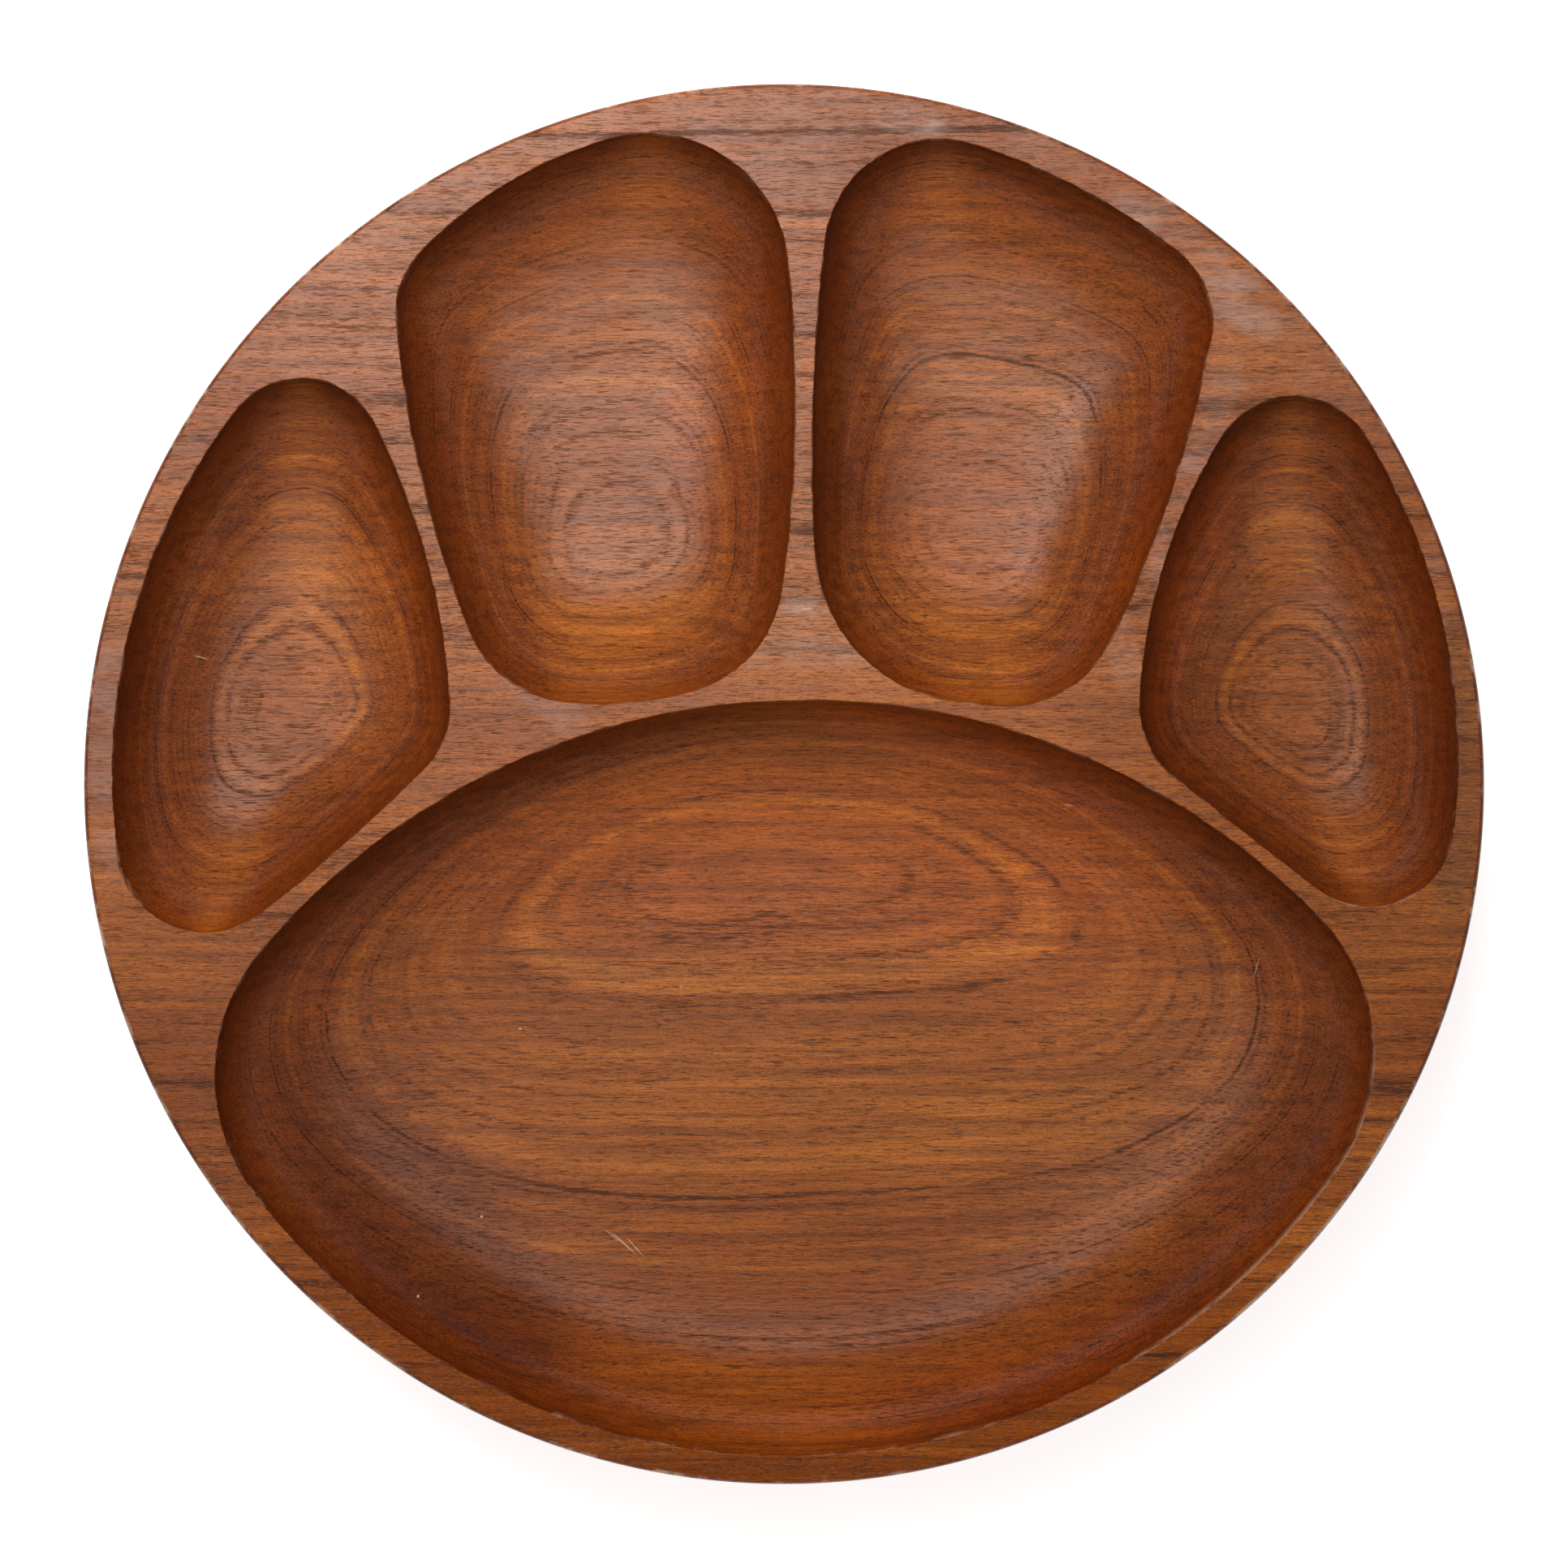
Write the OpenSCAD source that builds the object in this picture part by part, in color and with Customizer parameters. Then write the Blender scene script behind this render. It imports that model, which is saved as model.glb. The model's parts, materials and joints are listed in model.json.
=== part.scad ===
// Lazy susan turntable: a round teak tray with five carved pockets laid out like a paw,
// turning on a square ball-bearing swivel over a small round base on rubber feet.
// Millimetres. +Z is up and the origin is on the table, under the turning axis.
// +Y runs towards the two middle toe pockets.

/* [Tray] */
// Outside diameter of the tray
tray_d = 360; // [358:1:376]
// Thickness of the tray
tray_t = 27; // [26:0.5:34]
// Radius along the tray's top edge
tray_top_round = 2; // [1:0.5:4]
// Radius along the tray's lower edge
tray_under_round = 14; // [8:1:18]
// Depth of the four toe pockets
toe_depth = 18.5; // [14:0.5:18.5]
// Depth of the large palm pocket
palm_depth = 19.5; // [14:0.5:19.5]

/* [Base] */
// Outside diameter of the base
base_d = 176; // [172:1:220]
// Thickness of the base
base_t = 15; // [13:0.5:20]
// Radius along the base's top edge
base_top_round = 3; // [1:0.5:4]
// Radius along the base's lower edge
base_under_round = 5; // [2:0.5:5]
// Diameter of the turned recess that the swivel sits in
recess_d = 149; // [147:0.5:152]
// Depth of that recess
recess_depth = 3; // [1:0.5:4]
// Diameter of the hole that a screwdriver reaches the tray's screws through
access_d = 12; // [9:0.5:13]

/* [Swivel] */
// Side of the two square plates
plate_side = 102; // [98:0.5:103]
// Thickness of the pressed steel
plate_t = 1.0; // [0.9:0.05:1.0]
// Height of the whole swivel
swivel_h = 7.9; // [7.9:0.1:9]
// Corner radius of the plates
plate_corner_r = 7; // [3:0.5:8]
// Distance between neighbouring screw holes
hole_pitch = 82.6; // [80:0.1:84]
// Radius of the circle that the balls run on
track_r = 34; // [33:0.5:34]
// Diameter of the balls
ball_d = 4.76; // [4.7:0.01:4.8]
// Number of balls
ball_count = 12; // [8:1:18]
// Gap between a ball and its groove
groove_gap = 0.07; // [0.02:0.01:0.1]
// Gap between a ball and its hole in the ring that spaces the balls
pocket_gap = 0.1; // [0.05:0.01:0.1]
// Radius of the open centre
centre_r = 24; // [22:0.5:24]

/* [Screws] */
// Radius of the screw heads
head_r = 3.4; // [3:0.1:3.6]
// Height of the screw heads
head_h = 2.2; // [1.8:0.1:2.3]
// Radius of the screw shanks
shank_r = 1.7; // [1.4:0.05:1.8]
// Length of the screws that hold the tray
tray_screw_l = 6.3; // [5:0.1:6.5]
// Length of the screws that hold the swivel to the base
base_screw_l = 9.5; // [7:0.5:10]
// Length of the screws that hold the feet
foot_screw_l = 12.7; // [10:0.1:14]

/* [Feet] */
// Height of the rubber feet
foot_h = 6; // [5.5:0.5:8]
// Radius of a foot where it meets the base
foot_top_r = 8.5; // [7.5:0.5:9]
// Radius of a foot where it meets the table
foot_low_r = 7.6; // [7:0.1:8]
// Distance of the feet from the turning axis
foot_circle_r = 74; // [72:0.5:75]
// Radius of the washer inside each foot
washer_r = 4.6; // [4.2:0.1:4.8]
// Thickness of that washer
washer_t = 0.8; // [0.6:0.1:1]

/* [Hidden] */
$fn = 96;
base_z = foot_h;
swivel_z = base_z + base_t - recess_depth;
tray_z = swivel_z + swivel_h;
top_z = tray_z + tray_t;
ball_r = ball_d / 2;
groove_r = ball_r + groove_gap;
ball_z = swivel_h / 2;
bead_z = 1.2;
bead_top = bead_z + plate_t;
step_r = track_r + 6;
lip_z = swivel_h - 0.9;
lip_t = 0.6;
lip_r = centre_r + 4.6;
foot_recess = foot_h - 2;
pilot_r = shank_r + 0.02;
clear_r = shank_r + 0.4;
teak = [0.56, 0.33, 0.19];
zinc = [0.74, 0.75, 0.76];

// ---- pocket outlines ----
// A pocket is a ring of corner arcs [x, y, corner radius, radius of the side after it],
// named counter-clockwise. Each side is an arc that runs smoothly into both corners.

corners_left_middle = [
  [-35, 131, 36, 110],
  [-77, 121, 22.5, 280],
  [-53, 51, 30, 82],
  [-31.5, 54, 31, 320]
];
corners_right_middle = [
  [87, 118.5, 23, 163],
  [40, 136, 29.5, 450],
  [49, 62, 41, 1400],
  [57, 50, 30, 320]
];
corners_left_outer = [
  [-124, 83, 21, 150],
  [-148.5, -15.5, 22.5, 420],
  [-107.5, 19.5, 21.5, 180]
];
corners_right_outer = [
  [131, 78, 21.5, 143],
  [115, 20.5, 23.5, 1400],
  [150.5, -10, 21.5, 156]
];
corners_palm = [
  [-96, -75, 50, 172.5],
  [100.5, -69.5, 51, 184]
];

function around(i, n) = (i + n) % n;
function flat(list) = [for (part = list) each part];
function bearing_to(a, b) = atan2(b[1] - a[1], b[0] - a[0]);
function ahead(a, b) = b < a ? b + 360 : b;

// Centre of the arc of radius a[3] that both corner arcs run into
function side_centre(a, b) =
  let (
    dx = b[0] - a[0],
    dy = b[1] - a[1],
    gap = norm([dx, dy]),
    ra = a[3] - a[2],
    rb = a[3] - b[2],
    along = (ra * ra - rb * rb + gap * gap) / (2 * gap),
    across = sqrt(ra * ra - along * along)
  )
  [a[0] + (along * dx - across * dy) / gap, a[1] + (along * dy + across * dx) / gap];

function arc_points(c, r, from, to, steps) =
  [for (k = [0:steps - 1]) let (a = from + (to - from) * k / steps) c + r * [cos(a), sin(a)]];

// One corner arc followed by the side after it
function corner_and_side(list, i, steps) =
  let (
    n = len(list),
    c = list[i],
    next = list[around(i + 1, n)],
    before = side_centre(list[around(i - 1, n)], c),
    after = side_centre(c, next),
    a0 = bearing_to(before, c),
    a1 = ahead(a0, bearing_to(after, c)),
    b1 = ahead(a1, bearing_to(after, next))
  )
  concat(
    arc_points([c[0], c[1]], c[2], a0, a1, steps),
    arc_points(after, c[3], a1, b1, steps)
  );

function outline(list, steps) = flat([for (i = [0:len(list) - 1]) corner_and_side(list, i, steps)]);

// ---- pocket solids ----
// The hollow narrows from its outline to its deepest point on a rounded, bowl-like curve:
// spread sets how flat the floor is and swell how fast the wall turns down.

module pocket(list, steps, deepest, depth, spread, swell, layers = 9) {
  edge = outline(list, steps);
  n = len(edge);
  rows = [
    for (j = [0:layers - 1])
      let (a = 90 * (1 - j / layers), t = pow(sin(a), 2 / spread), s = pow(cos(a), 2 / swell))
      [t, top_z - depth * (j == 0 ? 0 : s)]
  ];
  points = concat(
    [for (p = edge) [p[0], p[1], top_z + 2]],
    flat([
      for (row = rows)
        [for (p = edge) let (q = deepest + row[0] * (p - deepest)) [q[0], q[1], row[1]]]
    ]),
    [[deepest[0], deepest[1], top_z - depth], [deepest[0], deepest[1], top_z + 2]]
  );
  low = (layers + 1) * n;
  faces = concat(
    flat([
      for (j = [0:layers - 1], i = [0:n - 1])
        let (k = around(i + 1, n), u = j * n, d = u + n)
        [[u + i, u + k, d + k], [u + i, d + k, d + i]]
    ]),
    [for (i = [0:n - 1]) [low, low - n + i, low - n + around(i + 1, n)]],
    [for (i = [0:n - 1]) [low + 1, around(i + 1, n), i]]
  );
  polyhedron(points = points, faces = faces, convexity = 4);
}

// ---- shared shapes ----

// Half section of a turned disc with both edges rounded
module disc_section(r, t, top, under) {
  square([r - under, t]);
  translate([0, under]) square([r, t - under - top]);
  translate([0, under]) square([r - top, t - under]);
  translate([r - top, t - top]) circle(top);
  intersection() {
    translate([r - under, under]) circle(under);
    square([r, under + 0.5]);
  }
}

module corner_places(pitch) {
  for (x = [-1, 1], y = [-1, 1])
    translate([x * pitch / 2, y * pitch / 2, 0])
      children();
}

module foot_place(i) {
  rotate([0, 0, 90 * i - 45])
    translate([foot_circle_r, 0, 0])
      children();
}

// Pan-head wood screw: the head sits above z = 0 and the shank runs down
module screw(length) {
  dome_r = (head_r * head_r + 0.81) / 1.8;
  difference() {
    intersection() {
      cylinder(r = head_r, h = head_h);
      translate([0, 0, head_h - dome_r]) sphere(dome_r);
    }
    for (a = [0, 90])
      rotate([0, 0, a])
        translate([-1.9, -0.45, head_h - 1.2])
          cube([3.8, 0.9, 2]);
  }
  translate([0, 0, 2.4 - length]) cylinder(r = shank_r, h = length - 2.4 + 0.2);
  translate([0, 0, -length]) cylinder(r1 = 0.3, r2 = shank_r, h = 2.4);
}

module square_plate() {
  s = plate_side / 2 - plate_corner_r;
  square([plate_side, 2 * s], center = true);
  square([2 * s, plate_side], center = true);
  for (x = [-s, s], y = [-s, s])
    translate([x, y]) circle(plate_corner_r);
}

// Flat outer part of a swivel plate, with its four screw holes
module flange() {
  linear_extrude(plate_t)
    difference() {
      square_plate();
      circle(step_r - 0.5);
      for (x = [-1, 1], y = [-1, 1])
        translate([x * hole_pitch / 2, y * hole_pitch / 2]) circle(clear_r);
    }
}

// Half section of the pressed race: a step, a flat bead and the ball groove
module race_section(inner_r) {
  difference() {
    union() {
      translate([step_r - 1, 0]) square([1, bead_top]);
      translate([inner_r, bead_z]) square([step_r - inner_r, plate_t]);
      intersection() {
        translate([track_r, ball_z]) circle(groove_r + plate_t);
        square([step_r, bead_top]);
      }
    }
    translate([track_r, ball_z]) circle(groove_r);
  }
}

// ---- the pieces ----

module platter() {
  color(teak)
    difference() {
      translate([0, 0, tray_z])
        rotate_extrude() disc_section(tray_d / 2, tray_t, tray_top_round, tray_under_round);
      pocket(corners_left_middle, 6, [-44, 88], toe_depth, 2.8, 1.9);
      pocket(corners_right_middle, 6, [50, 86], toe_depth, 2.8, 1.9);
      pocket(corners_left_outer, 8, [-128, 26], toe_depth, 2.7, 1.9);
      pocket(corners_right_outer, 8, [133, 23], toe_depth, 2.7, 1.9);
      pocket(corners_palm, 15, [-2, -72], palm_depth, 5.2, 2);
      translate([0, 0, tray_z - 1])
        corner_places(hole_pitch) cylinder(r = pilot_r, h = tray_screw_l - plate_t + 1);
    }
}

module base() {
  color(teak * 0.9)
    difference() {
      translate([0, 0, base_z])
        rotate_extrude() disc_section(base_d / 2, base_t, base_top_round, base_under_round);
      translate([0, 0, swivel_z]) cylinder(d = recess_d, h = recess_depth + 1);
      translate([hole_pitch / sqrt(2), 0, base_z - 1]) cylinder(d = access_d, h = base_t + 2);
      translate([0, 0, swivel_z + plate_t - base_screw_l])
        corner_places(hole_pitch) cylinder(r = pilot_r, h = base_screw_l);
      for (i = [1:4])
        foot_place(i)
          translate([0, 0, base_z - 1])
            cylinder(r = pilot_r, h = foot_recess - washer_t + foot_screw_l - base_z + 1);
    }
}

module swivel_lower_plate() {
  color(zinc)
    translate([0, 0, swivel_z]) {
      flange();
      rotate_extrude() {
        race_section(centre_r);
        translate([centre_r, bead_z]) square([plate_t, lip_z + lip_t - bead_z]);
        translate([centre_r, lip_z]) square([lip_r - centre_r, lip_t]);
      }
    }
}

module swivel_upper_plate() {
  color(zinc)
    translate([0, 0, tray_z])
      mirror([0, 0, 1]) {
        flange();
        rotate_extrude() race_section(centre_r + 2.2);
      }
}

module ball_cage() {
  color([0.9, 0.88, 0.8])
    translate([0, 0, swivel_z + ball_z])
      difference() {
        cylinder(r = track_r + 3.6, h = 1.5, center = true);
        cylinder(r = track_r - 3.6, h = 3, center = true);
        for (i = [1:ball_count])
          rotate([0, 0, 360 * i / ball_count])
            translate([track_r, 0, 0])
              cylinder(r = ball_r + pocket_gap, h = 3, center = true);
      }
}

module ball(i) {
  color([0.62, 0.63, 0.65])
    rotate([0, 0, 360 * i / ball_count])
      translate([track_r, 0, swivel_z + ball_z])
        sphere(ball_r);
}

module platter_screws() {
  color([0.78, 0.74, 0.6])
    translate([0, 0, tray_z - plate_t])
      corner_places(hole_pitch) mirror([0, 0, 1]) screw(tray_screw_l);
}

module base_screws() {
  color([0.78, 0.74, 0.6])
    translate([0, 0, swivel_z + plate_t])
      corner_places(hole_pitch) screw(base_screw_l);
}

module rubber_foot(i) {
  color([0.12, 0.12, 0.12])
    foot_place(i)
      difference() {
        cylinder(r1 = foot_low_r, r2 = foot_top_r, h = foot_h);
        translate([0, 0, -1]) cylinder(r = washer_r + 0.3, h = foot_recess + 1);
        cylinder(r = clear_r, h = foot_h + 1);
      }
}

module foot_washers() {
  color([0.7, 0.7, 0.72])
    for (i = [1:4])
      foot_place(i)
        translate([0, 0, foot_recess - washer_t])
          difference() {
            cylinder(r = washer_r, h = washer_t);
            translate([0, 0, -1]) cylinder(r = clear_r, h = washer_t + 2);
          }
}

module foot_screws() {
  color([0.7, 0.7, 0.72])
    for (i = [1:4])
      foot_place(i)
        translate([0, 0, foot_recess - washer_t])
          mirror([0, 0, 1]) screw(foot_screw_l);
}

platter();
base();
swivel_upper_plate();
swivel_lower_plate();
ball_cage();
for (i = [1:ball_count])
  ball(i);
platter_screws();
base_screws();
for (i = [1:4])
  rubber_foot(i);
foot_washers();
foot_screws();
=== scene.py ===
"""The looks of the lazy susan turntable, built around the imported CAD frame.

The teak tray is rebuilt as one fine, smooth mesh from the same arcs as the CAD model. The base,
swivel, balls, screws and feet keep their CAD shapes and get procedural materials.
Lengths are in millimetres, and MM turns them into metres. The floor, lights and camera are in metres.
"""
import json
import math
import bpy
import numpy as np
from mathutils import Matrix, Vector, geometry, noise


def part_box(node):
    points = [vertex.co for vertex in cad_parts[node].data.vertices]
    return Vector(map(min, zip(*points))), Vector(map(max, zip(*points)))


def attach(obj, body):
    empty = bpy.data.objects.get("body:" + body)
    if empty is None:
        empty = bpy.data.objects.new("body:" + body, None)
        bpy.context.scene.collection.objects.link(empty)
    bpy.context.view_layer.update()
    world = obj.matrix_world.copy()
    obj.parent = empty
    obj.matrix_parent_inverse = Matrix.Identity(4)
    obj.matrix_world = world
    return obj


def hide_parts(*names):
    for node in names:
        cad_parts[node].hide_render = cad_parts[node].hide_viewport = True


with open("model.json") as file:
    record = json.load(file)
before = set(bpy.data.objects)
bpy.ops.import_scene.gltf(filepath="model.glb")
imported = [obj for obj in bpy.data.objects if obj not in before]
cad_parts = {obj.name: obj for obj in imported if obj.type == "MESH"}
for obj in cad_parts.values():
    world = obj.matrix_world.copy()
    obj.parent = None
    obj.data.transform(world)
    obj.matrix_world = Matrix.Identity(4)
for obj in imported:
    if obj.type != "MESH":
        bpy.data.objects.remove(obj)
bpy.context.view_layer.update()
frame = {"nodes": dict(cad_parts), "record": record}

MM = 0.001
tray_low, tray_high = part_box("platter")
base_low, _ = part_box("base")
TOP = tray_high[2] / MM
BOTTOM = tray_low[2] / MM
TRAY_R = (tray_high[0] - tray_low[0]) / 2 / MM

# Radii of the tray's top and lower edges. The top's is crisper than in the CAD, as the photograph has it.
TOP_ROUND = 1.3
UNDER_ROUND = 14.0


# ---------------------------------------------------------------- pocket outlines, in mm
# A pocket is a ring of corner arcs (x, y, corner radius, radius of the side after it),
# counter-clockwise. Each side is an arc that runs smoothly into both corners.

POCKETS = {
    "left_middle": {
        "corners": [(-35, 131, 36, 110), (-77, 121, 22.5, 280), (-53, 51, 30, 82), (-31.5, 54, 31, 320)],
        "deepest": (-44, 88), "depth": 18.5, "spread": 2.8, "swell": 1.9, "steps": 36,
    },
    "right_middle": {
        "corners": [(87, 118.5, 23, 163), (40, 136, 29.5, 450), (49, 62, 41, 1400), (57, 50, 30, 320)],
        "deepest": (50, 86), "depth": 18.5, "spread": 2.8, "swell": 1.9, "steps": 36,
    },
    "left_outer": {
        "corners": [(-124, 83, 21, 150), (-148.5, -15.5, 22.5, 420), (-107.5, 19.5, 21.5, 180)],
        "deepest": (-128, 26), "depth": 18.5, "spread": 2.7, "swell": 1.9, "steps": 44,
    },
    "right_outer": {
        "corners": [(131, 78, 21.5, 143), (115, 20.5, 23.5, 1400), (150.5, -10, 21.5, 156)],
        "deepest": (133, 23), "depth": 18.5, "spread": 2.7, "swell": 1.9, "steps": 44,
    },
    "palm": {
        "corners": [(-96, -75, 50, 172.5), (100.5, -69.5, 51, 184)],
        "deepest": (-2, -72), "depth": 19.5, "spread": 5.2, "swell": 2.0, "steps": 100,
    },
}


def side_centre(a, b):
    """Centre of the arc of radius a[3] that runs into both corner arcs."""
    dx, dy = b[0] - a[0], b[1] - a[1]
    gap = math.hypot(dx, dy)
    ra, rb = a[3] - a[2], a[3] - b[2]
    along = (ra * ra - rb * rb + gap * gap) / (2 * gap)
    across = math.sqrt(ra * ra - along * along)
    return (a[0] + (along * dx - across * dy) / gap, a[1] + (along * dy + across * dx) / gap)


def heading(a, b):
    """Angle of the line from a to b."""
    return math.atan2(b[1] - a[1], b[0] - a[0])


def outline(corners, steps):
    """Points round the pocket, counter-clockwise, and their outward directions."""
    points, outward = [], []
    count = len(corners)

    def arc(centre, radius, start, end):
        for k in range(steps):
            angle = start + (end - start) * k / steps
            direction = (math.cos(angle), math.sin(angle))
            points.append((centre[0] + radius * direction[0], centre[1] + radius * direction[1]))
            outward.append(direction)

    for i, corner in enumerate(corners):
        following = corners[(i + 1) % count]
        before = side_centre(corners[i - 1], corner)
        after = side_centre(corner, following)
        start = heading(before, corner)
        middle = heading(after, corner)
        middle += math.tau if middle < start else 0
        end = heading(after, following)
        while end < middle:
            end += math.tau
        arc(corner, corner[2], start, middle)
        arc(after, corner[3], middle, end)
    return np.array(points), np.array(outward)


def even_steps(points, outward, spacing):
    """The same outline with its points spaced evenly, spacing mm apart."""
    closed = np.vstack([points, points[:1]])
    turned = np.vstack([outward, outward[:1]])
    run = np.concatenate([[0], np.cumsum(np.linalg.norm(np.diff(closed, axis=0), axis=1))])
    count = int(run[-1] / spacing)
    at = np.linspace(0, run[-1], count, endpoint=False)
    spaced = np.column_stack([np.interp(at, run, closed[:, k]) for k in (0, 1)])
    normal = np.column_stack([np.interp(at, run, turned[:, k]) for k in (0, 1)])
    return spaced, normal / np.linalg.norm(normal, axis=1)[:, None]


# ---------------------------------------------------------------- the tray's mesh

POINT_GAP = 0.9
LIP_STEPS = 5
WALL_ROWS = 34
RIM_SEGMENTS = 480
RIM_STEPS = 6
SIDE_STEPS = 5
UNDER_STEPS = 12
UNDERSIDE_RINGS = (150, 130, 105, 75, 45, 15)

# A pocket's softened edge: its usual and least radius, and what makes it uneven, as (waves per
# millimetre along x, along y, slice of the noise, height). Chips are deeper and only here and there.
LIP = 0.42
LEAST_LIP = 0.12
LIP_NOISE = [(0.03, 0.03, 1.7, 0.14), (0.35, 0.35, 8.1, 0.07), (0.22, 1.15, 2.6, 0.34)]
CHIP_WAVES, CHIP_SLICE, CHIP_START, CHIP_DEPTH = 0.11, 4.4, 0.45, 1.3

# How far a pocket's outline has turned into the rounder one at its deepest point
FLOOR_ROUNDING = 0.5

# Rows of the wall over which the edge's unevenness and its wear die out
UNEVEN_ROWS = 4
WORN_ROWS = 3

# Pale wear on the tray's outer edge, partly a painted highlight on its rounding, where one is the wear on a
# pocket's edge
RIM_WEAR_AND_HIGHLIGHT = 1.7


def lip_radius(x, y):
    """Radius of the softened edge round a pocket: worn more in some places than in others."""
    radius = LIP
    for along_x, along_y, level, height in LIP_NOISE:
        radius += height * noise.noise(Vector((x * along_x, y * along_y, level)))
    chip = noise.noise(Vector((x * CHIP_WAVES, y * CHIP_WAVES, CHIP_SLICE))) - CHIP_START
    return max(LEAST_LIP, radius + CHIP_DEPTH * max(0.0, chip))


def pocket_rings(pocket):
    """Rings of (x, y, z, wear) from the land down to the pocket's floor, and its deepest point.

    The rings shrink towards the deepest point and get rounder on the way.
    """
    points, outward = outline(pocket["corners"], pocket["steps"])
    points, outward = even_steps(points, outward, POINT_GAP)
    centre = np.array(pocket["deepest"], dtype=float)
    radius = np.array([lip_radius(x, y) for x, y in points])
    rings = []
    for k in range(LIP_STEPS + 1):
        angle = math.pi / 2 * k / LIP_STEPS
        place = points + outward * (radius * (1 - math.sin(angle)))[:, None]
        height = TOP - radius * (1 - math.cos(angle))
        lip = np.full(len(points), math.sin(angle))
        rings.append(np.column_stack([place, height, lip]))
    reach = points - centre
    length = np.linalg.norm(reach, axis=1)
    rounder = reach / length[:, None] * ((length + length.mean()) / 2)[:, None]
    for j in range(1, WALL_ROWS):
        angle = math.pi / 2 * (1 - j / WALL_ROWS)
        t = math.sin(angle) ** (2 / pocket["spread"])
        sunk = math.cos(angle) ** (2 / pocket["swell"])
        round_off = FLOOR_ROUNDING * (1 - t)
        place = centre + t * ((1 - round_off) * reach + round_off * rounder)
        start = LIP + (radius - LIP) * max(0.0, 1 - j / UNEVEN_ROWS)
        height = TOP - start - (pocket["depth"] - start) * sunk
        lip = max(0.0, 1 - j / WORN_ROWS)
        rings.append(np.column_stack([place, height, np.full(len(points), lip)]))
    return rings, (centre[0], centre[1], TOP - pocket["depth"], 0.0)


def circle_ring(radius, height, lip):
    """A level ring round the middle of the tray, as (x, y, z, wear)."""
    angle = np.linspace(0, math.tau, RIM_SEGMENTS, endpoint=False)
    return np.column_stack([
        radius * np.cos(angle), radius * np.sin(angle),
        np.full(RIM_SEGMENTS, height), np.full(RIM_SEGMENTS, lip),
    ])


def rim_rings():
    """Rings from the land's outer edge, down the side and in under the tray."""
    rings = []
    for k in range(RIM_STEPS + 1):
        angle = math.pi / 2 * k / RIM_STEPS
        rings.append(circle_ring(
            TRAY_R - TOP_ROUND * (1 - math.sin(angle)), TOP - TOP_ROUND * (1 - math.cos(angle)),
            RIM_WEAR_AND_HIGHLIGHT * math.sin(2 * angle),
        ))
    side_top, side_low = TOP - TOP_ROUND, BOTTOM + UNDER_ROUND
    for k in range(1, SIDE_STEPS + 1):
        height = side_top + (side_low - side_top) * k / SIDE_STEPS
        rings.append(circle_ring(TRAY_R, height, 0.0))
    for k in range(1, UNDER_STEPS + 1):
        angle = math.pi / 2 * k / UNDER_STEPS
        rings.append(circle_ring(
            TRAY_R - UNDER_ROUND * (1 - math.cos(angle)), side_low - UNDER_ROUND * math.sin(angle), 0.0,
        ))
    for radius in UNDERSIDE_RINGS:
        rings.append(circle_ring(radius, BOTTOM, 0.0))
    return rings


def build_tray():
    """The whole tray as one closed mesh, with the wear on its edges kept as the attribute "lip"."""
    vertices, lips, faces = [], [], []

    def add(ring):
        first = len(vertices)
        vertices.extend(ring[:, :3].tolist())
        lips.extend(ring[:, 3].tolist())
        return list(range(first, first + len(ring)))

    def skin(upper, lower, flip):
        count = len(upper)
        for i in range(count):
            k = (i + 1) % count
            quad = (upper[i], upper[k], lower[k], lower[i])
            faces.append(quad[::-1] if flip else quad)

    def cap(ring, tip, flip):
        vertices.append(tip[:3])
        lips.append(0.0)
        last = len(vertices) - 1
        count = len(ring)
        for i in range(count):
            triangle = (ring[i], ring[(i + 1) % count], last)
            faces.append(triangle[::-1] if flip else triangle)

    loops, holes = [], []
    for pocket in POCKETS.values():
        rings, tip = pocket_rings(pocket)
        indices = [add(ring) for ring in rings]
        for upper, lower in zip(indices, indices[1:]):
            skin(upper, lower, flip=False)
        cap(indices[-1], tip, flip=False)
        loops.append(indices[0])
        holes.append(rings[0][:, :2])
    rings = rim_rings()
    indices = [add(ring) for ring in rings]
    for upper, lower in zip(indices, indices[1:]):
        skin(upper, lower, flip=True)
    cap(indices[-1], (0.0, 0.0, BOTTOM), flip=True)
    loops.append(indices[0])

    # The flat land between the pockets, joined to every loop's own vertices
    flat = [index for loop in loops for index in loop]
    edges, start = [], 0
    for loop in loops:
        count = len(loop)
        edges.extend((start + i, start + (i + 1) % count) for i in range(count))
        start += count
    points = [Vector(vertices[index][:2]) for index in flat]
    _, _, triangles, origin, _, _ = geometry.delaunay_2d_cdt(points, edges, [], 0, 1e-6)
    for triangle in triangles:
        source = [origin[i][0] for i in triangle]
        middle = sum((points[i] for i in source), Vector((0, 0))) / 3
        if not any(inside(middle, hole) for hole in holes):
            faces.append([flat[i] for i in source])

    mesh = bpy.data.meshes.new("tray")
    mesh.from_pydata([[value * MM for value in vertex] for vertex in vertices], [], faces)
    mesh.validate()
    mesh.attributes.new("lip", "FLOAT", "POINT").data.foreach_set("value", lips)
    mesh.shade_smooth()
    land = set(flat)
    normals = [
        (0, 0, 1) if vertex.index in land else tuple(vertex.normal) for vertex in mesh.vertices
    ]
    mesh.normals_split_custom_set_from_vertices(normals)
    tray = bpy.data.objects.new("tray", mesh)
    bpy.context.scene.collection.objects.link(tray)
    return tray


def inside(point, loop):
    """Is the point within this loop? A line going right from it then crosses it an odd number of times."""
    following = np.roll(loop, -1, axis=0)
    spans = (loop[:, 1] > point[1]) != (following[:, 1] > point[1])
    a, b = loop[spans], following[spans]
    crossing = a[:, 0] + (point[1] - a[:, 1]) / (b[:, 1] - a[:, 1]) * (b[:, 0] - a[:, 0])
    return int((crossing > point[0]).sum()) % 2 == 1


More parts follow.
